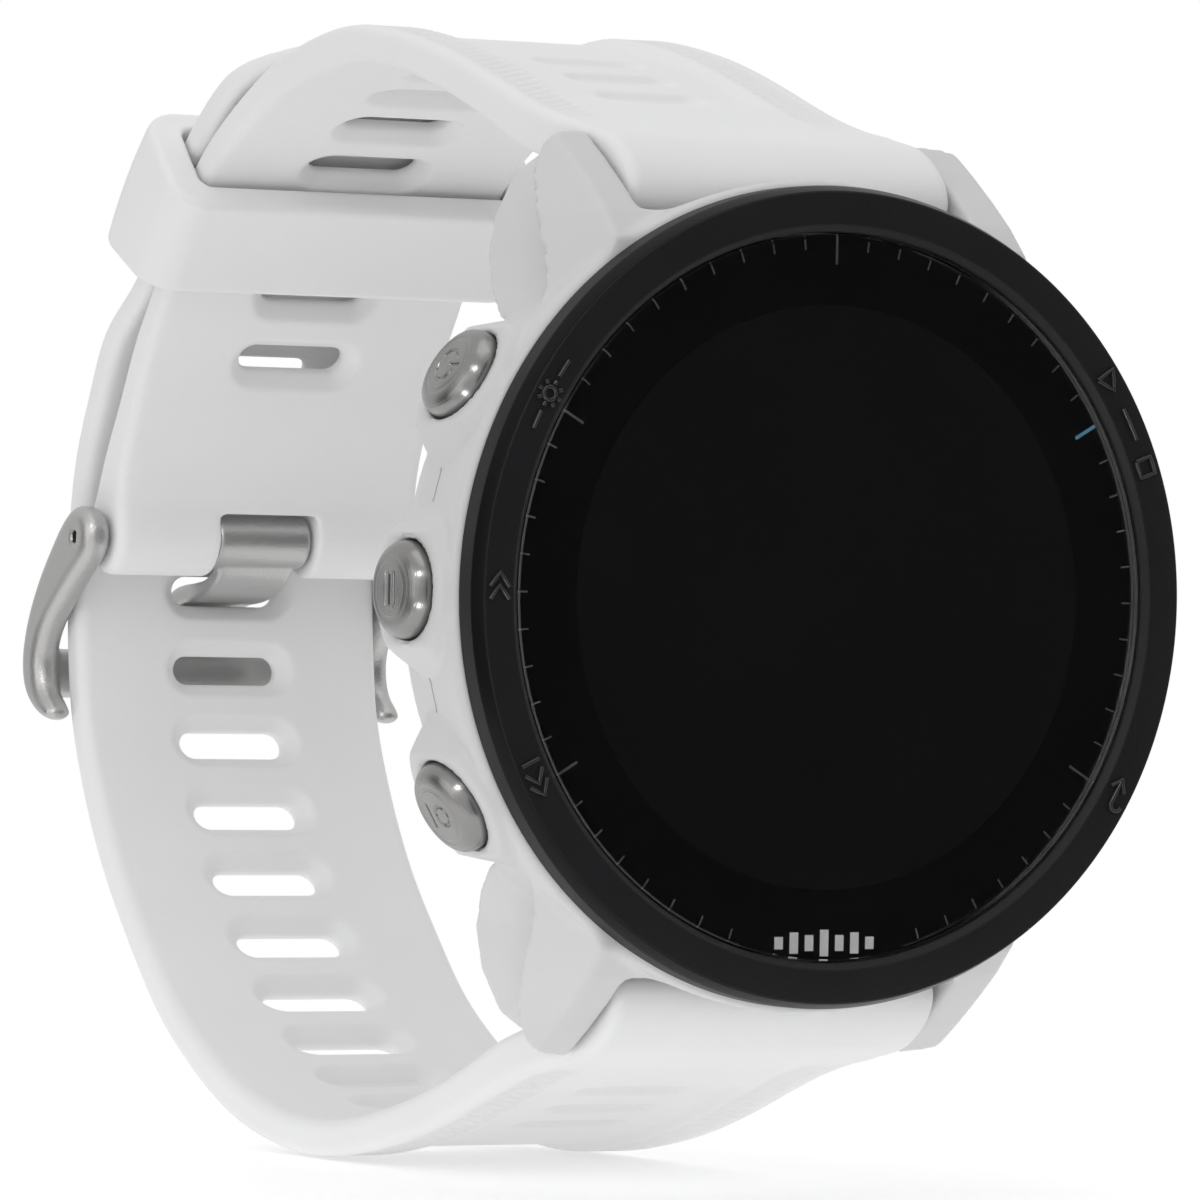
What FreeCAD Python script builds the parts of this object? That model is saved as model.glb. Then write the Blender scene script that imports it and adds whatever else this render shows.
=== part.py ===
import FreeCAD, Part
import math
import os

os.makedirs("parts", exist_ok=True)

V = FreeCAD.Vector

# Running watch with its strap buckled in a closed loop. Millimetres.
# Shapes are drawn in the dial frame: x to 3 o'clock, y from the dial towards the wrist, z to 12 o'clock,
# with y = 0 at the printed dial. On writing, they are moved so that the origin is the wrist's centre.
DIAL_TO_WRIST = 42.0

# Case
BEZEL_R = 23.25
BEZEL_FRONT_Y = -0.9
BEZEL_BACK_Y = 1.4
LENS_R = 20.5
LENS_FRONT_Y = -0.5
LENS_T = 0.8
CAVITY_R = 19.6
COVER_SEAT_Y = 9.9
COVER_R = 20.4
COVER_BACK_Y = 11.9
CASE_BACK_Y = 11.6
WINDOW_R = 8.0
WINDOW_APEX_Y = 13.5

# Screws that hold the back cover
SCREW_CIRCLE_R = 17.85
SCREW_ANGLES = (45, 135, 225, 315)
SCREW_R = 0.6
SCREW_HEAD_R = 1.2

# Buttons: clock angle of each, and the radial stack from the switch outwards
BUTTONS = {"up": 270, "light": 300, "down": 240, "start": 60, "back": 120}
BUTTON_Y = 5.8
CAP_R = 2.75
CAP_UNDER = 23.4
STEM_R = 0.9
STEM_TIP = 18.55
BOSS_R = 3.95
BOSS_TOP = 24.1
RECESS_R = 2.95
RECESS_FLOOR = 22.4
GLAND_R = 1.62
GLAND_TOP = 20.7

# Lugs and spring bars
LUG_INNER_X = 11.0
BAR_Y = 11.2
BAR_Z = 23.4
BAR_TUBE_R = 0.75
BAR_TIP_R = 0.5
BAR_TIP_X = 12.2
BAR_HOLE_END_X = 12.8

# Strap
STRAP_HALF_W = 10.7
FLEX_Y = 42.0
FLEX_GAP = 1.0
SLOT_LEN = 7.4
SLOT_W = 2.0
TONGUE_SLOT_W = 2.9
SLOT_PITCH = 5.2
GROOVE_LEN = 6.8
GROOVE_W = 1.6
GROOVE_PITCH = 3.9

# Arc that the strap follows under the keeper
KEEPER_ARC_Y = 42.9
KEEPER_ARC_Z = 8.9
KEEPER_MID_DEG = 38.5
KEEPER_HALF_DEG = 10.0
KEEPER_HALF_W = 13.2
STRAP_ARC_R = 23.5
STRAP_THIN = 2.0

# Buckle
PIN_Y = 70.2
PIN_Z = 3.0
PIN_R = 0.75
PIN_HOLE_R = 0.8
PIN_HALF_LEN = 12.6
ARM_IN_X = 10.9
ARM_OUT_X = 12.8
NOTCH_HALF_W = 3.55
TONGUE_HALF_W = 2.6
BARREL_HALF_W = 3.25


def write(name, *solids):
    shape = solids[0] if len(solids) == 1 else Part.makeCompound(list(solids))
    moved = shape.copy()
    moved.translate(V(0, -DIAL_TO_WRIST, 0))
    moved.exportStep(os.path.join("parts", name + ".step"))


def turned(points):
    """Solid of revolution about the y axis from (radius, y) points."""
    wire = Part.makePolygon([V(r, y, 0) for r, y in points] + [V(points[0][0], points[0][1], 0)])
    return Part.Face(wire).revolve(V(0, 0, 0), V(0, 1, 0), 360)


def disc(radius, y0, y1, x=0.0, z=0.0):
    return Part.makeCylinder(radius, y1 - y0, V(x, y0, z), V(0, 1, 0))


def ring(r_in, r_out, y0, y1):
    return disc(r_out, y0, y1).cut(disc(r_in, y0 - 1, y1 + 1))


def block(x0, x1, y0, y1, z0, z1):
    return Part.makeBox(x1 - x0, y1 - y0, z1 - z0, V(x0, y0, z0))


def rod_x(radius, x0, x1, y, z):
    return Part.makeCylinder(radius, x1 - x0, V(x0, y, z), V(1, 0, 0))


def at_clock(shape, degrees):
    """Turn a shape built at 12 o'clock to another clock angle."""
    out = shape.copy()
    out.rotate(V(0, 0, 0), V(0, 1, 0), degrees)
    return out


def rod_out(radius, r0, r1, y=BUTTON_Y, x=0.0):
    """Radial rod at 12 o'clock from radius r0 to r1."""
    return Part.makeCylinder(radius, r1 - r0, V(x, y, r0), V(0, 0, 1))


def mirror_z(shape):
    return shape.mirror(V(0, 0, 0), V(0, 0, 1))


def mirror_x(shape):
    return shape.mirror(V(0, 0, 0), V(1, 0, 0))


def spline_yz(points):
    curve = Part.BSplineCurve()
    curve.interpolate([V(0, y, z) for y, z in points])
    return curve


def slab(outline, half_w):
    """Extrude a closed list of edges in the x = 0 plane to both sides."""
    face = Part.Face(Part.Wire(outline))
    face.translate(V(-half_w, 0, 0))
    return face.extrude(V(2 * half_w, 0, 0))


def polygon_x(points, x0, x1):
    """Extrude a closed (y, z) polygon from x0 to x1."""
    wire = Part.makePolygon([V(x0, y, z) for y, z in points] + [V(x0, points[0][0], points[0][1])])
    return Part.Face(wire).extrude(V(x1 - x0, 0, 0))


# ---------------------------------------------------------------- bezel and lens
write("bezel", turned([
    (20.6, BEZEL_BACK_Y), (20.6, LENS_FRONT_Y), (21.0, BEZEL_FRONT_Y), (22.9, BEZEL_FRONT_Y),
    (BEZEL_R, 0.0), (BEZEL_R, BEZEL_BACK_Y)]))

LENS_BACK_Y = LENS_FRONT_Y + LENS_T
write("lens", turned([
    (0, LENS_BACK_Y), (0, LENS_FRONT_Y), (LENS_R - 0.2, LENS_FRONT_Y), (LENS_R, LENS_FRONT_Y + 0.2),
    (LENS_R, LENS_BACK_Y)]))
write("lens_gasket", ring(19.65, LENS_R - 0.05, LENS_BACK_Y, 0.65))

# ---------------------------------------------------------------- display, frame, boards, battery
display = disc(19.2, 0.4, 1.8).cut(block(-20, 20, 0, 3, -20, -18.4))
write("display_panel", display)

frame_tabs = [at_clock(block(-1.9, 1.9, 2.5, 7.4, 16.2, 16.9), a) for a in BUTTONS.values()]
inner_frame = disc(19.1, 1.9, 2.6).fuse(frame_tabs).removeSplitter()
screw_clear = [at_clock(Part.makeCylinder(2.1, 12, V(0, 0, SCREW_CIRCLE_R), V(0, 1, 0)), a)
               for a in SCREW_ANGLES]
write("inner_frame", inner_frame.cut(Part.makeCompound(screw_clear)))

write("main_board", disc(15.9, 3.0, 3.8).cut(Part.makeCompound(screw_clear)))
write("shield_cans",
      block(-11.5, -0.6, 3.8, 5.0, -7.5, 7.5),
      block(0.6, 11.5, 3.8, 5.0, -2.0, 7.5),
      block(0.6, 8.0, 3.8, 5.0, -8.0, -3.2))

battery = block(-12.0, 12.0, 5.4, 9.4, -8.5, 8.5)
battery = battery.makeFillet(1.8, [e for e in battery.Edges if abs(e.BoundBox.YLength - 4.0) < 0.01])
write("battery", battery)
write("vibration_motor", disc(3.5, 5.4, 8.1, 0.0, 12.4))
write("buzzer", disc(3.8, 5.0, 5.6, 0.0, -12.8).fuse(disc(2.2, 5.6, 6.2, 0.0, -12.8)))

wedge = Part.makePolygon([V(0, 2.9, 0), V(-15, 2.9, 24), V(15, 2.9, 24), V(0, 2.9, 0)])
wedge = Part.Face(wedge).extrude(V(0, 4.0, 0))
write("gps_antenna", ring(18.85, 19.35, 2.9, 6.9).common(wedge))

switches = []
for angle in BUTTONS.values():
    body = block(-1.5, 1.5, 4.5, 7.1, 16.9, 17.5)
    dome = Part.makeCone(1.1, 0.7, 0.45, V(0, BUTTON_Y, 17.5), V(0, 0, 1))
    switches.append(at_clock(body.fuse(dome), angle))
write("button_switches", *switches)

# ---------------------------------------------------------------- main case
case = turned([
    (CAVITY_R, 0.65), (LENS_R, 0.65), (LENS_R, BEZEL_BACK_Y), (23.45, BEZEL_BACK_Y), (23.6, 1.9),
    (23.4, 3.2), (22.95, 5.0), (22.6, 6.5), (22.4, 8.5), (22.0, 10.0), (21.3, 11.2), (20.7, CASE_BACK_Y),
    (20.5, CASE_BACK_Y), (20.5, COVER_SEAT_Y), (CAVITY_R, COVER_SEAT_Y)])

boss = rod_out(BOSS_R, 20.5, BOSS_TOP)
boss = boss.makeChamfer(0.35, [e for e in boss.Edges if abs(e.BoundBox.ZMin - BOSS_TOP) < 0.01])
boss = boss.fuse(Part.makeCone(5.4, BOSS_R, 2.9, V(0, BUTTON_Y, 20.5), V(0, 0, 1)))
boss = boss.common(disc(30, 1.9, 11.0))
case = case.fuse([at_clock(boss, a) for a in BUTTONS.values()])

# One lug: its side outline crossed with its plan outline, with a bevel along the outer front edge
# and a channel behind that edge
BEVEL_X = 13.5
lug_side = [(2.2, 20.4), (3.3, 21.7), (5.6, 23.4), (7.9, 25.1), (9.4, 26.1), (10.6, 26.5), (11.9, 26.0),
            (13.7, 24.1), (14.8, 21.6), (14.8, 19.0), (13.0, 16.0)]
lug_plan = [(LUG_INNER_X, 26.8), (12.9, 26.6), (14.2, 25.6), (15.0, 23.9), (15.4, 22.0), (15.7, 20.0),
            (16.2, 17.5), (17.0, 15.5)]
channel = [(18.6, 4.6), (16.1, 4.6), (14.3, 5.4), (13.9, 6.4), (14.2, 8.1), (15.0, 11.0), (14.0, 15.0),
           (18.6, 15.0)]
side_curve = spline_yz(lug_side)
side_back = Part.makePolygon([V(0, *lug_side[-1]), V(0, 10.0, 15.0), V(0, 2.2, 15.0), V(0, *lug_side[0])])
side_wire = Part.Wire([side_curve.toShape()] + side_back.Edges)
side_slab = Part.Face(side_wire).extrude(V(19.0, 0, 0))
bevelled = Part.Face(side_wire.translated(V(BEVEL_X, 0, 0))).extrude(V(5.0, 10.0, 0))
inner_part = side_slab.common(block(0, BEVEL_X, 0, 20, 10, 30))
plan_curve = Part.BSplineCurve()
plan_curve.interpolate([V(x, 0, z) for x, z in lug_plan])
plan_back = Part.makePolygon([V(17.0, 0, 15.5), V(14.0, 0, 14.5), V(LUG_INNER_X, 0, 14.5),
                              V(LUG_INNER_X, 0, 26.8)])
plan = Part.Face(Part.Wire([plan_curve.toShape()] + plan_back.Edges)).extrude(V(0, 18, 0))
channel_wire = Part.makePolygon([V(x, y, 14.5) for x, y in channel + channel[:1]])
lug = inner_part.fuse(side_slab.common(bevelled)).common(plan)
lug = lug.cut(Part.Face(channel_wire).extrude(V(-1.5, 4.5, 12.5)))
right_pair = [lug, mirror_z(lug)]
case = case.fuse(right_pair + [mirror_x(s) for s in right_pair])

# Flats that make room for the strap's ends between the lugs
for side in (1, -1):
    z0, z1 = sorted((side * 20.75, side * 27.0))
    case = case.cut(block(-LUG_INNER_X, LUG_INNER_X, 3.4, 16.5, z0, z1))

screw_posts = [at_clock(Part.makeCylinder(1.85, COVER_SEAT_Y - 4.0, V(0, 4.0, SCREW_CIRCLE_R), V(0, 1, 0)), a)
               for a in SCREW_ANGLES]
case = case.cut(disc(CAVITY_R, 0, COVER_SEAT_Y)).cut(disc(20.5, COVER_SEAT_Y, 17)).fuse(screw_posts)
for angle in SCREW_ANGLES:
    pilot = Part.makeCylinder(SCREW_R, 5.0, V(0, COVER_SEAT_Y - 4.0, SCREW_CIRCLE_R), V(0, 1, 0))
    case = case.cut(at_clock(pilot, angle))
for angle in BUTTONS.values():
    cut = rod_out(RECESS_R, RECESS_FLOOR, 27).fuse(rod_out(STEM_R + 0.05, 19.0, 23.0))
    case = case.cut(at_clock(cut.fuse(rod_out(GLAND_R, 19.0, GLAND_TOP)), angle))
for side in (1, -1):
    case = case.cut(rod_x(BAR_TIP_R + 0.06, -BAR_HOLE_END_X, BAR_HOLE_END_X, BAR_Y, side * BAR_Z))
write("main_case", case.removeSplitter())

# ---------------------------------------------------------------- back cover, sensor and charging port
PORT_Z = -14.6
cover = turned([
    (0, 10.3), (COVER_R, 10.3), (COVER_R, 11.5), (COVER_R - 0.4, COVER_BACK_Y), (13.2, COVER_BACK_Y),
    (11.2, 12.5), (9.0, 12.7), (0, 12.7)])
cover = cover.cut(disc(7.4, 10, 13)).cut(disc(WINDOW_R + 0.03, 11.6, 13))
cover = cover.cut(block(-3.8, 3.8, 11.1, 13.0, PORT_Z - 1.4, PORT_Z + 1.4))
CONTACT_X = (-2.4, -0.8, 0.8, 2.4)
cover = cover.cut(Part.makeCompound([disc(0.52, 10, 12, x, PORT_Z) for x in CONTACT_X]))
for angle in SCREW_ANGLES:
    through = Part.makeCylinder(SCREW_R + 0.1, 3.0, V(0, 10.0, SCREW_CIRCLE_R), V(0, 1, 0))
    head = Part.makeCylinder(SCREW_HEAD_R + 0.05, 2.0, V(0, 11.2, SCREW_CIRCLE_R), V(0, 1, 0))
    cover = cover.cut(at_clock(through.fuse(head), angle))
write("back_cover", cover)
write("back_gasket", ring(19.75, 20.35, COVER_SEAT_Y, 10.3))

screws = []
for angle in SCREW_ANGLES:
    shank = Part.makeCylinder(SCREW_R, 4.6, V(0, 6.6, SCREW_CIRCLE_R), V(0, 1, 0))
    head = Part.makeCylinder(SCREW_HEAD_R, 0.6, V(0, 11.2, SCREW_CIRCLE_R), V(0, 1, 0))
    socket = Part.makeCylinder(0.5, 0.4, V(0, 11.45, SCREW_CIRCLE_R), V(0, 1, 0))
    screws.append(at_clock(shank.fuse(head).cut(socket), angle))
write("back_screws", *screws)

dome_r = (WINDOW_R ** 2 + 1.1 ** 2) / 2.2
window = disc(WINDOW_R, 11.6, WINDOW_APEX_Y)
window = window.common(Part.makeSphere(dome_r, V(0, WINDOW_APEX_Y - dome_r, 0)))
write("sensor_window", window)
write("sensor_board", disc(7.2, 9.6, 10.4))
SENSORS = [(0, 0, 1.2), (3.9, 0, 0.8), (-3.9, 0, 0.8), (0, 3.9, 0.8), (0, -3.9, 0.8)]
write("sensor_leds", *[block(x - h, x + h, 10.4, 11.2, z - h, z + h) for x, z, h in SENSORS])
write("charging_contacts", *[disc(0.5, 10.4, 11.35, x, PORT_Z) for x in CONTACT_X])

# ---------------------------------------------------------------- buttons
cap = turned([(0, 0), (0, 1.8), (1.2, 1.78), (2.1, 1.66), (2.5, 1.5), (CAP_R, 1.2), (CAP_R, 0)])
cap.rotate(V(0, 0, 0), V(1, 0, 0), 90)
cap.translate(V(0, BUTTON_Y, CAP_UNDER))
groove = rod_out(STEM_R + 0.5, 19.15, 19.42).cut(rod_out(0.62, 19.0, 19.6))
button = cap.fuse(rod_out(STEM_R, STEM_TIP, CAP_UNDER + 0.2)).cut(groove)
clip = rod_out(1.9, 19.18, 19.39).cut(rod_out(0.66, 19.0, 19.6)).cut(block(-0.45, 0.45, 5.8, 8.5, 19, 19.6))
seal = Part.makeTorus(1.26, 0.33, V(0, BUTTON_Y, 20.25), V(0, 0, 1))
for name, angle in BUTTONS.items():
    write("button_" + name, at_clock(button, angle))
    write("clip_" + name, at_clock(clip, angle))
write("button_seals", *[at_clock(seal, a) for a in BUTTONS.values()])

# ---------------------------------------------------------------- strap outlines
def on_arc(radius, degrees):
    angle = math.radians(degrees)
    return (KEEPER_ARC_Y + radius * math.cos(angle), KEEPER_ARC_Z + radius * math.sin(angle))


ARC_DEGREES = (51, 45, 38.5, 32, 26)
root_outer = [(9.8, 26.5), (13.1, 27.2), (16.6, 28.1), (21.0, 29.6), (27.6, 31.8), (34.2, 33.3)]
root_inner = [(14.2, 23.6), (16.6, 24.7), (20.6, 26.6), (27.2, 29.15), (33.9, 30.9)]

short_outer = root_outer + [(38.5, 33.8), (42.0, 33.6), (45.5, 32.95), (49.0, 31.95), (53.0, 30.1)]
short_outer += [on_arc(STRAP_ARC_R, a) for a in ARC_DEGREES]
short_outer += [(66.4, 15.8), (68.7, 11.6), (70.6, 8.2), (72.2, 4.4)]
short_inner = root_inner + [(38.4, 31.4), (41.8, 31.2), (45.0, 30.65), (48.2, 29.8), (51.9, 28.2)]
short_inner += [on_arc(STRAP_ARC_R - STRAP_THIN, a) for a in ARC_DEGREES]
short_inner += [(64.6, 14.6), (66.5, 10.6), (67.7, 7.2), (68.0, 4.2)]

long_outer = [(y, -z) for y, z in root_outer] + [
    (41.8, -34.05), (47.1, -33.55), (52.5, -32.1), (57.9, -29.4), (61.7, -26.8), (65.4, -23.2),
    (68.6, -19.6), (71.2, -16.0), (73.2, -12.3), (74.6, -8.7), (75.4, -4.0), (75.6, 0.5), (75.4, 4.7),
    (74.6, 8.5), (72.9, 12.4), (70.7, 16.2)]
long_outer += [on_arc(STRAP_ARC_R + 0.2 + STRAP_THIN, a) for a in reversed(ARC_DEGREES)]
long_outer += [(56.2, 30.95), (52.3, 32.6), (48.2, 33.8)]
long_inner = [(y, -z) for y, z in root_inner] + [
    (41.6, -31.75), (46.6, -31.3), (51.8, -29.9), (56.8, -27.5), (60.4, -25.1), (63.9, -21.7), (66.9, -18.4),
    (69.3, -15.0), (71.2, -11.5), (72.5, -8.2), (73.2, -3.8), (73.5, 0.4), (73.3, 4.3), (72.6, 7.8),
    (71.0, 11.5), (68.9, 15.1)]
long_inner += [on_arc(STRAP_ARC_R + 0.2, a) for a in reversed(ARC_DEGREES)]
long_inner += [(55.2, 29.35), (51.6, 31.35), (47.7, 32.85)]


def strap_band(outer, inner):
    outer_curve = spline_yz(outer)
    inner_curve = spline_yz(inner)
    start, end = [Part.makeLine(V(0, *outer[i]), V(0, *inner[i])) for i in (0, -1)]
    return slab([outer_curve.toShape(), end, inner_curve.toShape(), start], STRAP_HALF_W)


def slot_at(curve, distance, depth_out, depth_in, length=SLOT_LEN, width=SLOT_W):
    """Rounded slot through the band at a distance along a curve, long side along x."""
    t = curve.parameterAtDistance(distance, curve.FirstParameter)
    point = curve.value(t)
    tangent = V(*curve.tangent(t)[0]).normalize()
    normal = tangent.cross(V(1, 0, 0)).normalize()
    if normal.dot(point - V(0, 40, 0)) < 0:
        normal = -normal
    start = point - normal * depth_in
    half = length / 2 - width / 2
    body = Part.makeBox(2 * half, width, depth_in + depth_out, V(-half, -width / 2, 0))
    for x in (-half, half):
        body = body.fuse(Part.makeCylinder(width / 2, depth_in + depth_out, V(x, 0, 0)))
    rotation = FreeCAD.Rotation(V(1, 0, 0), normal.cross(V(1, 0, 0)), normal, "ZXY")
    body.Placement = FreeCAD.Placement(start, rotation)
    return body


def distance_to(curve, y, z):
    return curve.length(curve.FirstParameter, curve.parameter(V(0, y, z)))


def root_end(side):
    """The thick end round the spring bar, with its flat face beside the case."""
    profile = [(4.9, 22.2), (5.0, 23.2), (5.8, 24.5), (7.2, 25.6), (8.8, 26.3), (9.8, 26.5), (14.2, 27.2),
               (15.4, 24.0), (13.9, 22.4), (11.8, 21.55), (8.6, 21.4), (5.4, 21.6)]
    return polygon_x([(y, side * z) for y, z in profile], -STRAP_HALF_W, STRAP_HALF_W)


def bar_passage(side):
    """Bore for the spring bar and the window for its release lever."""
    bore = rod_x(BAR_TUBE_R + 0.15, -12, 12, BAR_Y, side * BAR_Z)
    window = block(-8.4, -5.0, BAR_Y, BAR_Y + 8, side * BAR_Z - 0.9, side * BAR_Z + 0.9)
    return bore.fuse(window)


def flex_split(band):
    """The band's root and its far part, with a gap across the flex line."""
    low = band.common(block(-15, 15, 0, FLEX_Y - FLEX_GAP / 2, -40, 40))
    high = band.cut(block(-15, 15, 0, FLEX_Y + FLEX_GAP / 2, -40, 40))
    return low, high


def grooved(band, curve, y, z):
    """Blind cross grooves in the outer surface, starting at a point of the curve."""
    start = distance_to(curve, y, z)
    for i in range(3):
        band = band.cut(slot_at(curve, start + i * GROOVE_PITCH, 1.0, 1.0, GROOVE_LEN, GROOVE_W))
    return band


# Short half: root, far part with the buckle's barrel, slots and blind grooves
short_curve = spline_yz(short_outer)
short_band = strap_band(short_outer, short_inner)
first = distance_to(short_curve, 66.4, 15.8) + 0.7
for i in range(7):
    short_band = short_band.cut(slot_at(short_curve, first - i * SLOT_PITCH, 1.0, 4.0))
short_root, short_end = flex_split(grooved(short_band, short_curve, 21.0, 29.6))
short_root = short_root.fuse(root_end(1)).cut(bar_passage(1)).removeSplitter()
barrel = rod_x(2.3, -STRAP_HALF_W, STRAP_HALF_W, PIN_Y, PIN_Z)
notch = block(-NOTCH_HALF_W, NOTCH_HALF_W, 64.5, 76, 0, 5.2)
short_end = short_end.fuse(barrel).cut(rod_x(PIN_R + 0.03, -13, 13, PIN_Y, PIN_Z)).cut(notch).removeSplitter()
write("strap_short_root", short_root)
write("strap_short_end", short_end)

# Long half: root, far part with the row of slots that the buckle's tongue fits
long_curve = spline_yz(long_outer)
long_band = strap_band(long_outer, long_inner)
tongue_hole = distance_to(long_curve, 75.6, -0.3)
for i in range(-9, 7):
    width = TONGUE_SLOT_W if i == 0 else SLOT_W
    long_band = long_band.cut(slot_at(long_curve, tongue_hole + i * SLOT_PITCH, 1.0, 4.0, SLOT_LEN, width))
long_band = grooved(long_band, long_curve, 21.0, -29.6)
long_root = long_band.common(block(-15, 15, 0, FLEX_Y - FLEX_GAP / 2, -40, 0))
long_end = long_band.cut(block(-15, 15, 0, FLEX_Y + FLEX_GAP / 2, -40, 0))
long_root = long_root.fuse(root_end(-1)).cut(bar_passage(-1)).removeSplitter()
write("strap_long_root", long_root)
write("strap_long_end", long_end)

# ---------------------------------------------------------------- spring bars
for name, side in (("top", 1), ("bottom", -1)):
    z = side * BAR_Z
    tube = rod_x(BAR_TUBE_R, -9.8, 9.8, BAR_Y, z).cut(rod_x(0.52, -12, 8.0, BAR_Y, z))
    tube = tube.cut(block(-8.1, -5.3, BAR_Y, BAR_Y + 2, z - 0.45, z + 0.45))
    tube = tube.fuse(rod_x(BAR_TIP_R, 9.8, BAR_TIP_X, BAR_Y, z)).removeSplitter()
    write("bar_tube_" + name, tube)
    plunger = rod_x(0.46, -BAR_TIP_X, -5.4, BAR_Y, z)
    lever = Part.makeCylinder(0.36, 4.6, V(-7.6, BAR_Y, z), V(0, 1, 0))
    knob = Part.makeCylinder(0.6, 0.9, V(-7.6, BAR_Y + 4.2, z), V(0, 1, 0))
    write("bar_plunger_" + name, plunger.fuse([lever, knob]).removeSplitter())
    helix = Part.makeHelix(0.9, 12.6, 0.38)
    wire_profile = Part.Wire(Part.makeCircle(0.09, V(0.38, 0, 0), V(0, 1, 0)))
    coil = Part.Wire(helix.Edges).makePipeShell([wire_profile], True, True)
    coil.rotate(V(0, 0, 0), V(0, 1, 0), 90)
    coil.translate(V(-5.2, BAR_Y, z))
    write("bar_spring_" + name, coil)

# ---------------------------------------------------------------- buckle
write("buckle_pin", rod_x(PIN_R, -PIN_HALF_LEN, PIN_HALF_LEN, PIN_Y, PIN_Z))

arm_points = [(69.3, 4.9), (71.5, 4.9), (74.8, 1.3), (76.4, -1.0), (77.4, -3.0), (77.8, -4.9), (77.3, -6.9),
              (75.6, -8.3), (73.7, -8.7), (73.4, -7.8), (75.0, -6.5), (75.3, -4.6), (74.4, -2.8),
              (72.4, -1.0), (70.3, 0.6), (68.4, 1.9), (68.2, 3.6)]
arm = polygon_x(arm_points, ARM_IN_X, ARM_OUT_X)
arm = arm.makeFillet(0.4, [e for e in arm.Edges if abs(e.BoundBox.XMin - ARM_OUT_X) < 0.01])
bar_points = [(75.95, -4.4), (76.5, -4.0), (77.2, -4.1), (77.75, -4.9), (77.6, -6.2), (77.1, -7.0),
              (76.4, -7.3), (75.9, -6.6)]
bar = polygon_x(bar_points, -ARM_IN_X - 0.5, ARM_IN_X + 0.5)
frame = bar.fuse([arm, mirror_x(arm)]).cut(rod_x(PIN_HOLE_R, -14, 14, PIN_Y, PIN_Z))
frame = frame.cut(block(-TONGUE_HALF_W - 0.3, TONGUE_HALF_W + 0.3, 77.3, 79, -9, -3))
write("buckle_frame", frame.removeSplitter())

tongue_points = [(70.6, 1.3), (71.9, 0.5), (73.4, 0.25), (76.2, 0.05), (77.7, -0.9), (78.5, -2.6),
                 (78.75, -4.6), (78.7, -6.9), (78.2, -7.3), (77.6, -6.9), (77.65, -4.4), (77.3, -2.7),
                 (76.7, -1.6), (75.6, -1.05), (73.2, -0.9), (71.0, -0.4), (69.4, 1.4)]
tongue = polygon_x(tongue_points, -TONGUE_HALF_W, TONGUE_HALF_W)
tongue = tongue.fuse(rod_x(1.75, -BARREL_HALF_W, BARREL_HALF_W, PIN_Y, PIN_Z))
write("buckle_tongue", tongue.cut(rod_x(PIN_HOLE_R, -4, 4, PIN_Y, PIN_Z)).removeSplitter())

# ---------------------------------------------------------------- keeper
def arc_band(r_in, r_out, half_w):
    pts = [on_arc(r, KEEPER_MID_DEG + s * KEEPER_HALF_DEG) for r in (r_in, r_out) for s in (-1, 0, 1)]
    a, b, c, d, e, f = [V(-half_w, y, z) for y, z in pts]
    arcs = [Part.Arc(a, b, c).toShape(), Part.Arc(d, e, f).toShape()]
    sides = [Part.makeLine(c, f), Part.makeLine(d, a)]
    return Part.Face(Part.Wire(Part.__sortEdges__(arcs + sides))).extrude(V(2 * half_w, 0, 0))


inner_r = STRAP_ARC_R - STRAP_THIN - 0.3
outer_r = STRAP_ARC_R + STRAP_THIN + 0.5
keeper = arc_band(inner_r - 1.3, outer_r + 1.5, KEEPER_HALF_W)
keeper = keeper.makeFillet(1.0, [e for e in keeper.Edges if abs(abs(e.CenterOfMass.x) - KEEPER_HALF_W) < 0.01
                                 and not isinstance(e.Curve, Part.Line)])

hollow = rod_x(outer_r, -10.95, 10.95, KEEPER_ARC_Y, KEEPER_ARC_Z)
hollow = hollow.cut(rod_x(inner_r, -10.95, 10.95, KEEPER_ARC_Y, KEEPER_ARC_Z))
write("keeper", keeper.cut(hollow))
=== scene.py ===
import math

import bpy
import numpy as np
from mathutils import Matrix, Vector

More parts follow.
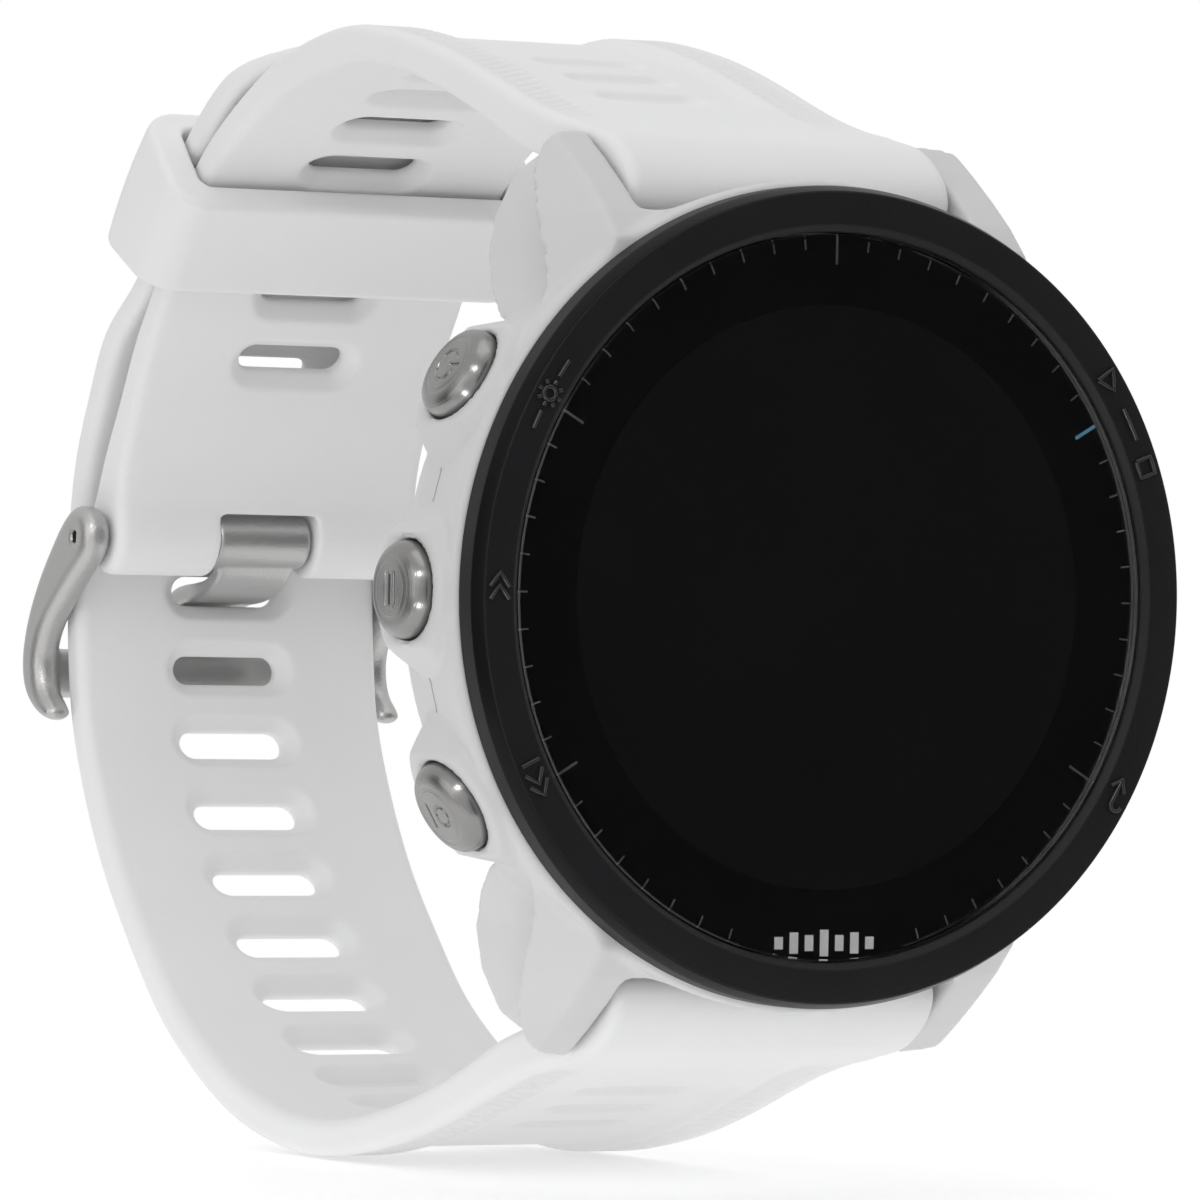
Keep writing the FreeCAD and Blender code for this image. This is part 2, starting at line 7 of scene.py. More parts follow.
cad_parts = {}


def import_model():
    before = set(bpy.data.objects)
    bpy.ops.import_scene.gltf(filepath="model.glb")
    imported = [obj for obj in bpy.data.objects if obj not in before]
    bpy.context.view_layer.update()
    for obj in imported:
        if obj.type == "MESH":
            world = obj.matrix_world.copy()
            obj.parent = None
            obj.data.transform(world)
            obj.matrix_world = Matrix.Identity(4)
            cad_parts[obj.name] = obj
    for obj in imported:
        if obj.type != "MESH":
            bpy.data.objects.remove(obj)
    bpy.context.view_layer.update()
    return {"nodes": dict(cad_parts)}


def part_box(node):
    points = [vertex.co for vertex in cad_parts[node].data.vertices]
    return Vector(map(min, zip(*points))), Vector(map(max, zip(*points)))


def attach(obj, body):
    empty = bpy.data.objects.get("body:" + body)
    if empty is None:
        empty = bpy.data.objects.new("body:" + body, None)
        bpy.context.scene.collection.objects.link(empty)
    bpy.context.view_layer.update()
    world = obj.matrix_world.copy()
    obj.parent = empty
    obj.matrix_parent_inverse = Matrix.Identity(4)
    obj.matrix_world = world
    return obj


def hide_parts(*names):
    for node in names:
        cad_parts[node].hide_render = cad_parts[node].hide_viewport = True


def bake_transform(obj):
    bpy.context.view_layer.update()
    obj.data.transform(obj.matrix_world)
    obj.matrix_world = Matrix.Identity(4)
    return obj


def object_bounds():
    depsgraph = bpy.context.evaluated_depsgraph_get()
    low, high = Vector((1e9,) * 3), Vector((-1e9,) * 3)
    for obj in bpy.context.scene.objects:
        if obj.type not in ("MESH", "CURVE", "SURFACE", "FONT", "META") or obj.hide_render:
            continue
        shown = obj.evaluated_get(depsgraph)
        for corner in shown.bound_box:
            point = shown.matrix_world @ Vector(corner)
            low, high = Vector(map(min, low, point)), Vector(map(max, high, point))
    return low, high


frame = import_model()

# Pieces are shaped in the dial frame, in millimetres:
# x to 3 o'clock, y from the dial to the wrist, z to 12 o'clock.
BEZEL_RISE = 0.9  # how far the bezel stands in front of the dial frame's origin
DIAL_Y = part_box("bezel")[0].y * 1000 + BEZEL_RISE
CLOCK = {"up": 270, "light": 300, "down": 240, "start": 60, "back": 120}  # each button's angle on the dial
BUTTON_Y = 5.8  # depth of the buttons' axes
CAP_FOOT = 23.4  # distance of a cap's underside from the dial's axis
LUG_INNER_X = 11.0  # half the space between two lugs
STRAP_HALF_W = 10.7
SLOT_PITCH = 5.2
GROOVE_PITCH = 3.9
PIN_Y, PIN_Z = 70.2, 3.0  # buckle pin's axis
CURVE_Y, CURVE_Z = 42.9, 8.9  # centre of the strap's curve under the keeper
FLOOR_RADIUS = 0.085


def world(v):
    """Dial frame in mm to the row frame in metres."""
    v = np.asarray(v, float)
    return (v + np.array([0, DIAL_Y, 0])) / 1000


# ------------------------------------------------------------------ distance fields
def smin(a, b, k):
    h = np.clip(0.5 + 0.5 * (b - a) / k, 0, 1)
    return b * (1 - h) + a * h - k * h * (1 - h)


def smax(a, b, k):
    return -smin(-a, -b, k)


def ease(t):
    t = np.clip(t, 0, 1)
    return t * t * (3 - 2 * t)


def poly(px, py, pts):
    """Signed distance to a closed polygon."""
    d = np.full(np.broadcast(px, py).shape, 1e9, np.float32)
    sign = np.ones(d.shape, np.float32)
    for i in range(len(pts)):
        (ax, ay), (bx, by) = pts[i], pts[i - 1]
        ex, ey = bx - ax, by - ay
        wx, wy = px - ax, py - ay
        t = np.clip((wx * ex + wy * ey) / (ex * ex + ey * ey), 0, 1)
        d = np.minimum(d, (wx - ex * t) ** 2 + (wy - ey * t) ** 2)
        c1, c2, c3 = py >= ay, py < by, ex * wy > ey * wx
        sign = np.where((c1 & c2 & c3) | ~(c1 | c2 | c3), -sign, sign)
    return sign * np.sqrt(d)


def soften(points, times=2):
    """Closed outline with its corners cut again and again until they look round."""
    p = np.array(points, float)
    for _ in range(times):
        q = np.roll(p, -1, axis=0)
        p = np.stack([0.75 * p + 0.25 * q, 0.25 * p + 0.75 * q], 1).reshape(-1, 2)
    return p


def cross_section(a, b, r):
    """Intersection of two distance fields with edges rounded to r."""
    a, b = a + r, b + r
    return np.minimum(np.maximum(a, b), 0) + np.hypot(np.maximum(a, 0), np.maximum(b, 0)) - r


def surface(field, lo, hi, step, newton=3):
    """Quad mesh of field = 0, with its points then moved onto the exact surface."""
    step = np.array(step, float)
    axes = [np.arange(lo[i], hi[i] + step[i], step[i]) for i in range(3)]
    grid = field(axes[0][:, None, None], axes[1][None, :, None], axes[2][None, None, :]).astype(np.float32)
    inside = grid < 0
    n = [len(a) - 1 for a in axes]
    corners = [(i, j, k) for i in (0, 1) for j in (0, 1) for k in (0, 1)]
    count = np.zeros(n, np.int8)
    for i, j, k in corners:
        count += inside[i:n[0] + i, j:n[1] + j, k:n[2] + k]
    active = (count > 0) & (count < 8)
    ids = np.full(n, -1, np.int64)
    cells = np.argwhere(active)
    ids[active] = np.arange(len(cells))
    total = np.zeros((len(cells), 3))
    hits = np.zeros(len(cells))
    for a in corners:
        for axis in range(3):
            if a[axis]:
                continue
            b = tuple(1 if m == axis else a[m] for m in range(3))
            fa = grid[tuple((cells + a).T)]
            fb = grid[tuple((cells + b).T)]
            cross = (fa < 0) != (fb < 0)
            t = np.where(cross, fa / np.where(cross, fa - fb, 1), 0)
            p = np.array(a, float) + t[:, None] * (np.array(b) - np.array(a))
            total += p * cross[:, None]
            hits += cross
    v = (total / hits[:, None] + cells) * step + [a[0] for a in axes]
    faces = []
    for axis in range(3):
        u, w = [(1, 2), (2, 0), (0, 1)][axis]
        low = [slice(None)] * 3
        high = [slice(None)] * 3
        low[axis], high[axis] = slice(0, -1), slice(1, None)
        change = inside[tuple(low)] != inside[tuple(high)]
        for side in (u, w):
            cut = [slice(None)] * 3
            cut[side] = slice(1, -1)
            part = np.zeros_like(change)
            part[tuple(cut)] = True
            change &= part
        e = np.argwhere(change)
        du, dw = np.eye(3, dtype=int)[u], np.eye(3, dtype=int)[w]
        quad = [ids[tuple((e - o).T)] for o in (du + dw, dw, 0 * du, du)]
        quad = np.stack(quad, 1)
        flip = ~inside[tuple(e.T)]
        quad[flip] = quad[flip][:, ::-1]
        faces.append(quad)
    faces = np.concatenate(faces)
    at = lambda p: field(p[:, 0], p[:, 1], p[:, 2])
    h = 0.02
    for _ in range(newton):
        g = np.stack([(at(v + h * m) - at(v - h * m)) / (2 * h) for m in np.eye(3)], 1)
        move = -(at(v) / np.maximum((g * g).sum(1), 0.1))[:, None] * g
        length = np.linalg.norm(move, axis=1, keepdims=True)
        v = v + move * np.minimum(1, 0.4 * step.min() / np.maximum(length, 1e-9))
    return v, faces


def outward(v, f):
    """Faces of a closed mesh, wound so that their normals point out."""
    f = np.asarray(f)
    a, b, c = v[f[:, 0]], v[f[:, 1]], v[f[:, 2]]
    volume = (a * np.cross(b, c)).sum()
    if f.shape[1] == 4:
        volume += (a * np.cross(c, v[f[:, 3]])).sum()
    return f if volume > 0 else f[:, ::-1]


def make(name, verts_mm, faces, body, finish, stands_for=(), sharp=50):
    """A smooth-shaded piece of the visual model that rides a body and may stand for CAD nodes."""
    mesh = bpy.data.meshes.new(name)
    co = world(verts_mm)
    faces = outward(co * 1000, faces)
    mesh.vertices.add(len(co))
    mesh.vertices.foreach_set("co", co.astype(np.float32).ravel())
    mesh.loops.add(faces.size)
    mesh.loops.foreach_set("vertex_index", faces.ravel().astype(np.int32))
    mesh.polygons.add(len(faces))
    mesh.polygons.foreach_set("loop_start", np.arange(0, faces.size, faces.shape[1], dtype=np.int32))
    mesh.update(calc_edges=True)
    mesh.validate()
    mesh.shade_smooth()
    mesh.set_sharp_from_angle(angle=math.radians(sharp))
    mesh.materials.append(finish)
    obj = bpy.data.objects.new(name, mesh)
    bpy.context.scene.collection.objects.link(obj)
    if body:
        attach(obj, body)
    if stands_for:
        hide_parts(*stands_for)
    return obj


# ------------------------------------------------------------------ materials
def material(name, color, rough, metal=0.0, spec=0.5, grain=None, blotch=0.03, transmission=0.0, lay=0.0):
    """Procedural finish; grain is its bump's (scale per metre, strength), lay a turned face's anisotropy."""
    m = bpy.data.materials.new(name)
    m.use_nodes = True
    nt = m.node_tree
    bsdf = nt.nodes["Principled BSDF"]
    coords = nt.nodes.new("ShaderNodeTexCoord")
    noise = nt.nodes.new("ShaderNodeTexNoise")
    noise.inputs["Scale"].default_value = 160
    noise.inputs["Detail"].default_value = 4
    nt.links.new(coords.outputs["Object"], noise.inputs["Vector"])
    ramp = nt.nodes.new("ShaderNodeMapRange")
    ramp.inputs["To Min"].default_value = 1 - blotch
    ramp.inputs["To Max"].default_value = 1 + blotch
    nt.links.new(noise.outputs["Fac"], ramp.inputs["Value"])
    tint = nt.nodes.new("ShaderNodeVectorMath")
    tint.operation = "SCALE"
    tint.inputs[0].default_value = color[:3]
    nt.links.new(ramp.outputs["Result"], tint.inputs["Scale"])
    nt.links.new(tint.outputs["Vector"], bsdf.inputs["Base Color"])
    gloss = nt.nodes.new("ShaderNodeMapRange")
    gloss.inputs["To Min"].default_value = rough * 0.88
    gloss.inputs["To Max"].default_value = rough * 1.12
    nt.links.new(noise.outputs["Fac"], gloss.inputs["Value"])
    nt.links.new(gloss.outputs["Result"], bsdf.inputs["Roughness"])
    bsdf.inputs["Metallic"].default_value = metal
    bsdf.inputs["Specular IOR Level"].default_value = spec
    bsdf.inputs["Transmission Weight"].default_value = transmission
    if lay:
        bsdf.inputs["Anisotropic"].default_value = lay
        radial = nt.nodes.new("ShaderNodeAttribute")
        radial.attribute_name = "radial"
        nt.links.new(radial.outputs["Vector"], bsdf.inputs["Tangent"])
    if grain:
        fine = nt.nodes.new("ShaderNodeTexNoise")
        fine.inputs["Scale"].default_value = grain[0]
        fine.inputs["Detail"].default_value = 2
        nt.links.new(coords.outputs["Object"], fine.inputs["Vector"])
        bump = nt.nodes.new("ShaderNodeBump")
        bump.inputs["Strength"].default_value = grain[1]
        bump.inputs["Distance"].default_value = 0.00003
        nt.links.new(fine.outputs["Fac"], bump.inputs["Height"])
        nt.links.new(bump.outputs["Normal"], bsdf.inputs["Normal"])
    return m


CASE_WHITE = material("case_white", (0.68, 0.68, 0.685), 0.42, grain=(5200, 0.25))
STRAP_WHITE = material("strap_white", (0.88, 0.88, 0.885), 0.55, spec=0.4, grain=(4200, 0.3), blotch=0.02)
BEZEL_BLACK = material("bezel_black", (0.008, 0.008, 0.0095), 0.5, spec=0.24, grain=(6500, 0.9), blotch=0.15)
# Bezel chamfer black: darker and less glossy than the bezel, as painted shade for the dark reflection along
# the chamfer
BEVEL_PAINTED_SHADE = material("bevel_painted_shade", (0.004, 0.004, 0.005), 0.3, spec=0.12, grain=(6500, 0.4), blotch=0.15)
PICTURE_BLACK = material("picture_black", (0.022, 0.022, 0.024), 0.3, blotch=0.1)
DIAL_BLACK = material("dial_black", (0.0035, 0.0035, 0.004), 0.25, spec=0.3)
DISPLAY_BLACK = material("display_black", (0.0065, 0.0065, 0.007), 0.3, spec=0.3)
TICK_GREY = material("tick_grey", (0.12, 0.12, 0.12), 0.5)
TICK_BLUE = material("tick_blue", (0.16, 0.42, 0.62), 0.5)
MARK_WHITE = material("mark_white", (0.9, 0.9, 0.9), 0.5)
BUCKLE_STEEL = material("buckle_steel", (0.52, 0.515, 0.51), 0.4, metal=1.0, grain=(7000, 0.8), blotch=0.05)
SEAM_GREY = material("seam_grey", (0.42, 0.42, 0.42), 0.5)
CAP_STEEL = material("cap_steel", (0.30, 0.297, 0.293), 0.24, metal=1.0, blotch=0.08, lay=0.8)
LENS = material("lens_glass", (1, 1, 1), 0.02, transmission=1.0, blotch=0.0)
PLAIN_STEEL = material("plain_steel", (0.46, 0.455, 0.45), 0.34, metal=1.0, grain=(9000, 0.5), blotch=0.08)
INNER_PLASTIC = material("inner_plastic", (0.03, 0.03, 0.033), 0.5, grain=(6000, 0.5), blotch=0.12)
BOARD_GREEN = material("board_green", (0.02, 0.10, 0.06), 0.35, grain=(1800, 1.0), blotch=0.25)
BATTERY_FOIL = material("battery_foil", (0.45, 0.46, 0.48), 0.38, metal=0.8, grain=(1200, 0.8), blotch=0.1)
CONTACT_BRASS = material("contact_brass", (0.80, 0.60, 0.28), 0.25, metal=1.0, grain=(9000, 0.3), blotch=0.08)
LED_LENS = material("led_lens", (0.10, 0.28, 0.16), 0.12, blotch=0.15)
SEAL_RUBBER = material("seal_rubber", (0.02, 0.02, 0.02), 0.65, grain=(5000, 0.6), blotch=0.15)
SENSOR_GLASS = material("sensor_glass", (0.015, 0.015, 0.018), 0.06, blotch=0.1)


def turned_finish(m):
    """Fine rings left by turning, from each point's distance to the button's axis."""
    nt = m.node_tree
    radius = nt.nodes.new("ShaderNodeAttribute")
    radius.attribute_name = "turn"
    rings = nt.nodes.new("ShaderNodeTexNoise")
    rings.noise_dimensions = "1D"
    rings.inputs["Scale"].default_value = 9
    rings.inputs["Detail"].default_value = 3
    nt.links.new(radius.outputs["Fac"], rings.inputs["W"])
    bump = nt.nodes.new("ShaderNodeBump")
    bump.inputs["Strength"].default_value = 0.7
    bump.inputs["Distance"].default_value = 0.00004
    nt.links.new(rings.outputs["Fac"], bump.inputs["Height"])
    nt.links.new(bump.outputs["Normal"], nt.nodes["Principled BSDF"].inputs["Normal"])


turned_finish(CAP_STEEL)

# ------------------------------------------------------------------ case
CASE_PROFILE = [
    (19.9, 0.85), (20.25, 0.85), (20.25, 1.65), (23.2, 1.65), (23.4, 1.95), (23.28, 3.0), (22.85, 4.8),
    (22.45, 6.6), (22.25, 8.5), (21.85, 9.9), (21.2, 10.95), (20.75, 11.4), (20.65, 11.4), (20.65, 10.15),
    (19.9, 10.15)]
LUG_SIDE = [
    (1.7, 19.8), (3.2, 21.35), (5.0, 22.85), (7.2, 24.5), (9.4, 25.95), (10.6, 26.35), (11.7, 25.9),
    (13.7, 23.95), (15.0, 21.5), (15.0, 19.1), (13.5, 17.2), (11.0, 15.5), (1.7, 15.5)]
LUG_PLAN = [
    (8.0, 26.5), (11.2, 26.5), (12.7, 26.3), (14.1, 25.3), (14.9, 23.8), (15.25, 22.3), (15.5, 21.0),
    (15.9, 18.7), (16.4, 17.2), (17.1, 15.6), (14.0, 14.5), (8.0, 14.5)]


def case_field(x, y, z):
    r = np.hypot(x, z)
    d = poly(r, y + 0 * r, CASE_PROFILE) - 0.2
    for angle in CLOCK.values():
        a = math.radians(angle)
        out = x * math.sin(a) + z * math.cos(a)
        side = x * math.cos(a) - z * math.sin(a)
        leaf = (np.hypot(side, np.abs(y - BUTTON_Y) + 1.02) - 4.87 - 0.35 * np.clip(24.1 - out, 0, 6)) * 0.94
        top = (out - 24.1 + 1.1 * np.maximum(np.abs(side) - 3.2, 0)) * 0.75
        d = smin(d, np.maximum(smax(leaf, top, 0.5), 20.2 - out), 0.15)
    ax, az = np.abs(x), np.abs(z)
    front = np.interp(az, [15.5, 19.8, 21.4, 22.9, 24.5, 26.0, 26.4], [-2.5, 1.5, 3.1, 5.0, 7.2, 9.4, 10.6])
    ridge = np.interp(az, [15.7, 17.3, 18.7, 21.0, 22.3, 23.8, 25.3], [3.9, 4.4, 5.2, 6.8, 7.6, 8.6, 9.0])
    scoop = 2.6 * ease((y - ridge) / 1.4) - 0.7 * ease((y - ridge - 2.5) / 3.0)
    lug = smax(poly(y, az, LUG_SIDE) - 0.2 + 0 * ax, poly(ax + scoop, az + 0 * y, LUG_PLAN) - 0.2, 0.3)
    lug = smax(lug, (front + 2.1 * (ax - 13.6) - y) / 2.5, 0.25)
    d = smin(d, lug, 0.45)
    room = smax(smax(ax - LUG_INNER_X, 20.75 - az, 0.3), 3.4 - y, 0.7)
    d = smax(d, -room, 0.35)
    inside = smax(r - 19.7, 0.5 - y, 0.1)
    d = np.maximum(d, -inside)
    d = np.maximum(d, -np.maximum(r - 20.5, 9.95 - y))
    d = np.maximum(d, 0.65 - y)
    d = smax(d, np.where(r > 20.6, 1.45 - y, -9.0), 0.15)
    for angle in CLOCK.values():
        a = math.radians(angle)
        out = x * math.sin(a) + z * math.cos(a)
        side = x * math.cos(a) - z * math.sin(a)
        recess = np.maximum(np.hypot(side, y - BUTTON_Y) - 2.86, 22.4 - out)
        d = smax(d, -recess, 0.2)
    return d


v, f = surface(case_field, (-24.6, 0.2, -27.2), (24.6, 16.0, 27.2), (0.25, 0.25, 0.25))
make("case_shell", v, f, "case", CASE_WHITE, ["main_case"])


# ------------------------------------------------------------------ bezel, lens, dial
def lathe(profile, segments=256):
    """Ring of quads from a closed (radius, y) profile turned about the dial's axis."""
    n = len(profile)
    angle = np.linspace(0, 2 * math.pi, segments, endpoint=False)
    r = np.array([p[0] for p in profile])
    y = np.array([p[1] for p in profile])
    v = np.stack([np.sin(angle)[:, None] * r, y + 0 * angle[:, None], np.cos(angle)[:, None] * r], 2)
    v = v.reshape(-1, 3)
    i = np.arange(segments)[:, None]
    j = np.arange(n)[None, :]
    k, l = (i + 1) % segments, (j + 1) % n
    f = np.stack([i * n + j, i * n + l, k * n + l, k * n + j], 2).reshape(-1, 4)
    return v, f


def rounded(points, radius, steps=4):
    """Closed outline with each corner replaced by a small arc-like curve."""
    out = []
    pts = [np.array(p, float) for p in points]
    for i, p in enumerate(pts):
        a, b = pts[i - 1] - p, pts[(i + 1) % len(pts)] - p
        r = min(radius, 0.45 * np.linalg.norm(a), 0.45 * np.linalg.norm(b))
        a, b = p + a / np.linalg.norm(a) * r, p + b / np.linalg.norm(b) * r
        for t in np.linspace(0, 1, steps + 1):
            out.append(tuple((1 - t) ** 2 * a + 2 * t * (1 - t) * p + t * t * b))
    return out


BEZEL_PROFILE = [(20.6, 1.4), (20.6, -0.5), (21.0, -0.9), (22.9, -0.9), (23.25, 0.0), (23.25, 1.4)]
v, f = lathe(rounded(BEZEL_PROFILE, 0.12))
ring = make("bezel_ring", v, f, "case", BEZEL_BLACK, ["bezel"], sharp=30)
# The outer chamfer's faces take the darker black: painted shade for the dark reflection along the chamfer
ring.data.materials.append(BEVEL_PAINTED_SHADE)
middle = v[f].mean(1)
shaded_bevel_faces = (np.hypot(middle[:, 0], middle[:, 2]) > 22.86) & (middle[:, 1] < -0.02)
ring.data.polygons.foreach_set("material_index", shaded_bevel_faces.astype(np.int32))
v, f = lathe([(0.001, 0.3), (0.001, -0.5), (20.4, -0.5), (20.5, -0.4), (20.5, 0.3)])
make("front_lens", v, f, "case", LENS, ["lens"], sharp=20)
v, f = lathe([(0.001, 0.6), (0.001, 0.34), (20.45, 0.34), (20.45, 0.6)])
make("dial_ring", v, f, "case", DIAL_BLACK, ["display_panel", "lens_gasket"], sharp=20)
v, f = lathe([(0.001, 0.338), (0.001, 0.33), (16.5, 0.33), (16.5, 0.338)])
make("dial_display", v, f, "case", DISPLAY_BLACK, sharp=20)


def radial_bar(angle_deg, r0, r1, half_w, y0=0.315, y1=0.33):
    a = math.radians(angle_deg)
    u = np.array([math.sin(a), 0, math.cos(a)])
    w = np.array([math.cos(a), 0, -math.sin(a)])
    corners = ((r0, -1), (r1, -1), (r1, 1), (r0, 1))
    v = [u * r + w * s * half_w + np.array([0, y, 0]) for y in (y0, y1) for r, s in corners]
    f = [(0, 1, 2, 3), (7, 6, 5, 4), (0, 4, 5, 1), (1, 5, 6, 2), (2, 6, 7, 3), (3, 7, 4, 0)]
    return v, f


grey_v, grey_f = [], []
for minute in range(60):
    if 28 <= minute <= 32 or minute == 10:
        continue
    long_tick = minute in (0, 20, 40, 50)
    v, f = radial_bar(minute * 6, *((18.8, 20.4, 0.07) if long_tick else (19.65, 20.25, 0.05)))
    grey_f += [tuple(i + len(grey_v) for i in q) for q in f]
    grey_v += v
make("dial_ticks", np.array(grey_v), grey_f, "case", TICK_GREY)
v, f = radial_bar(60, 18.8, 20.3, 0.1)
make("dial_tick_two", np.array(v), f, "case", TICK_BLUE)
mark_v, mark_f = [], []
MARK_BARS = ((-3.0, 0.35), (-2.0, 0.6), (-1.0, 0.45), (0.0, 0.75), (1.0, 0.45), (2.0, 0.6), (3.0, 0.35))
MARK_CORNERS = ((-1, -1), (-1, 1), (1, 1), (1, -1))
for x, h in MARK_BARS:
    v = [np.array([x + sx * 0.28, y, -19.5 + sz * h]) for y in (0.315, 0.33) for sx, sz in MARK_CORNERS]
    mark_f += [tuple(k + len(mark_v) for k in q) for q in f]
    mark_v += v
make("dial_mark", np.array(mark_v), mark_f, "case", MARK_WHITE)


# ------------------------------------------------------------------ raised pictures on the bezel
def wires(name, paths, radius, body, finish):
    """Thin round wires through 3-D paths in the dial frame, as one mesh."""
    curve = bpy.data.curves.new(name, "CURVE")
    curve.dimensions = "3D"
    curve.bevel_depth = radius / 1000
    curve.bevel_resolution = 2
    curve.use_fill_caps = True
    for path in paths:
        line = curve.splines.new("POLY")
        line.points.add(len(path) - 1)
        for point, p in zip(line.points, world(path)):
            point.co = (*p, 1)
    wire = bpy.data.objects.new(name + "_wire", curve)
    bpy.context.scene.collection.objects.link(wire)
    bpy.context.view_layer.update()
    mesh = bpy.data.meshes.new_from_object(wire)
    bpy.data.objects.remove(wire)
    mesh.name = name
    mesh.materials.clear()
    mesh.materials.append(finish)
    mesh.shade_smooth()
    obj = bpy.data.objects.new(name, mesh)
    bpy.context.scene.collection.objects.link(obj)
    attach(obj, body)
    return obj


def circle(cx, cy, r, a0=0, a1=360, n=20):
    turns = np.radians(np.linspace(a0, a1, n))
    return [(cx + r * math.cos(a), cy + r * math.sin(a)) for a in turns]


def rays(cx, cy, r0, r1, n=8):
    turns = [2 * math.pi * i / n for i in range(n)]
    return [[(cx + r * math.cos(a), cy + r * math.sin(a)) for r in (r0, r1)] for a in turns]


LABELS = {
    "light": [circle(0, 0, 0.38)] + rays(0, 0, 0.55, 0.8)
    + [[(-2.2, 0.0), (-1.1, 0.0)], [(1.1, 0.0), (2.2, 0.0)]],
    "up": [[(-0.45, -0.6), (0.35, 0), (-0.45, 0.6)], [(0.25, -0.6), (1.05, 0), (0.25, 0.6)]],
    "down": [[(0.45, -0.6), (-0.35, 0), (0.45, 0.6)], [(-0.25, -0.6), (-1.05, 0), (-0.25, 0.6)],
             [(0.95, -0.6), (0.95, 0.6)]],
    "start": [[(-3.3, -0.6), (-2.2, 0), (-3.3, 0.6), (-3.3, -0.6)], [(-1.0, 0), (1.0, 0)],
              [(2.2, -0.5), (3.2, -0.5), (3.2, 0.5), (2.2, 0.5), (2.2, -0.5)]],
    "back": [[(-0.2, -0.65), (-0.9, -0.15), (-0.2, 0.35)], [(-0.9, -0.15), (0.6, -0.15)],
             circle(0.6, 0.2, 0.36, -90, 90, 8)],
}
paths = []
for name, strokes in LABELS.items():
    centre = CLOCK[name] + {"start": 2, "back": 0, "down": 2}.get(name, 0)
    for stroke in strokes:
        dense = []
        for (x0, y0), (x1, y1) in zip(stroke, stroke[1:]):
            steps = max(1, int(math.hypot(x1 - x0, y1 - y0) / 0.5))
            dense += [(x0 + (x1 - x0) * t / steps, y0 + (y1 - y0) * t / steps) for t in range(steps)]
        dense.append(stroke[-1])
        path = []
        for u, w in dense:
            a, r = math.radians(centre) + u / 21.95, 21.95 + w
            path.append((r * math.sin(a), -0.93, r * math.cos(a)))
        paths.append(path)
wires("bezel_pictures", paths, 0.13, "case", PICTURE_BLACK)

# Mould line round the case's side, between the bosses
paths = []
for start, end in ((252.5, 257.5), (282.5, 287.5), (73, 107)):
    angles = np.radians(np.linspace(start, end, max(8, int(end - start))))
    lo, hi = np.full(len(angles), 20.8), np.full(len(angles), 26.0)
    for _ in range(18):
        mid = (lo + hi) / 2
        outside = case_field(mid * np.sin(angles), 6.4 + 0 * mid, mid * np.cos(angles)) > 0
        lo, hi = np.where(outside, lo, mid), np.where(outside, mid, hi)
    paths.append([(r * math.sin(a), 6.4, r * math.cos(a)) for r, a in zip(lo, angles)])
wires("case_mould_line", paths, 0.05, "case", SEAM_GREY)

# ------------------------------------------------------------------ strap
def spline(points, samples=1600):
    """Natural cubic spline through 2-D points, resampled by arc length."""
    p = np.array(points, float)
    t = np.r_[0, np.cumsum(np.linalg.norm(np.diff(p, axis=0), axis=1))]
    n = len(p)
    h = np.diff(t)
    a = np.eye(n)
    b = np.zeros((n, 2))
    for i in range(1, n - 1):
        a[i, i - 1:i + 2] = h[i - 1], 2 * (h[i - 1] + h[i]), h[i]
        b[i] = 6 * ((p[i + 1] - p[i]) / h[i] - (p[i] - p[i - 1]) / h[i - 1])
    m = np.linalg.solve(a, b)
    q = np.linspace(0, t[-1], samples)
    i = np.clip(np.searchsorted(t, q) - 1, 0, n - 2)
    u, w = (t[i + 1] - q)[:, None], (q - t[i])[:, None]
    hi = h[i][:, None]
    c = (m[i] * u ** 3 + m[i + 1] * w ** 3) / (6 * hi)
    c = c + (p[i] / hi - m[i] * hi / 6) * u + (p[i + 1] / hi - m[i + 1] * hi / 6) * w
    s = np.r_[0, np.cumsum(np.linalg.norm(np.diff(c, axis=0), axis=1))]
    even = np.linspace(0, s[-1], samples)
    return even, np.stack([np.interp(even, s, c[:, 0]), np.interp(even, s, c[:, 1])], 1)


def on_arc(radius, degrees):
    """Point on a circle about the centre of the strap's curve."""
    a = math.radians(degrees)
    return (CURVE_Y + radius * math.cos(a), CURVE_Z + radius * math.sin(a))


ARC = (51, 45, 38.5, 32, 26)
ROOT_OUT = [(9.8, 26.5), (13.1, 27.2), (16.6, 28.1), (21.0, 29.6), (27.6, 31.8), (34.2, 33.3)]
ROOT_IN = [(14.2, 23.6), (16.6, 24.7), (20.6, 26.6), (27.2, 29.15), (33.9, 30.9)]
SHORT_OUT = ROOT_OUT + [(38.5, 33.8), (42.0, 33.6), (45.5, 32.95), (49.0, 31.95), (53.0, 30.1)]
SHORT_OUT += [on_arc(23.5, a) for a in ARC] + [(66.4, 15.8), (68.7, 11.6), (70.6, 8.2), (72.2, 4.4)]
SHORT_IN = ROOT_IN + [(38.4, 31.4), (41.8, 31.2), (45.0, 30.65), (48.2, 29.8), (51.9, 28.2)]
SHORT_IN += [on_arc(21.5, a) for a in ARC] + [(64.6, 14.6), (66.5, 10.6), (67.7, 7.2), (68.0, 4.2)]
LONG_OUT = [(y, -z) for y, z in ROOT_OUT] + [
    (41.8, -34.05), (47.1, -33.55), (52.5, -32.1), (57.9, -29.4), (61.7, -26.8), (65.4, -23.2), (68.6, -19.6),
    (71.2, -16.0), (73.2, -12.3), (74.6, -8.7), (75.4, -4.0), (75.6, 0.5), (75.4, 4.7), (74.6, 8.5),
    (72.9, 12.4), (70.7, 16.2)]
LONG_OUT += [on_arc(25.7, a) for a in reversed(ARC)] + [(56.2, 30.95), (52.3, 32.6), (48.2, 33.8)]
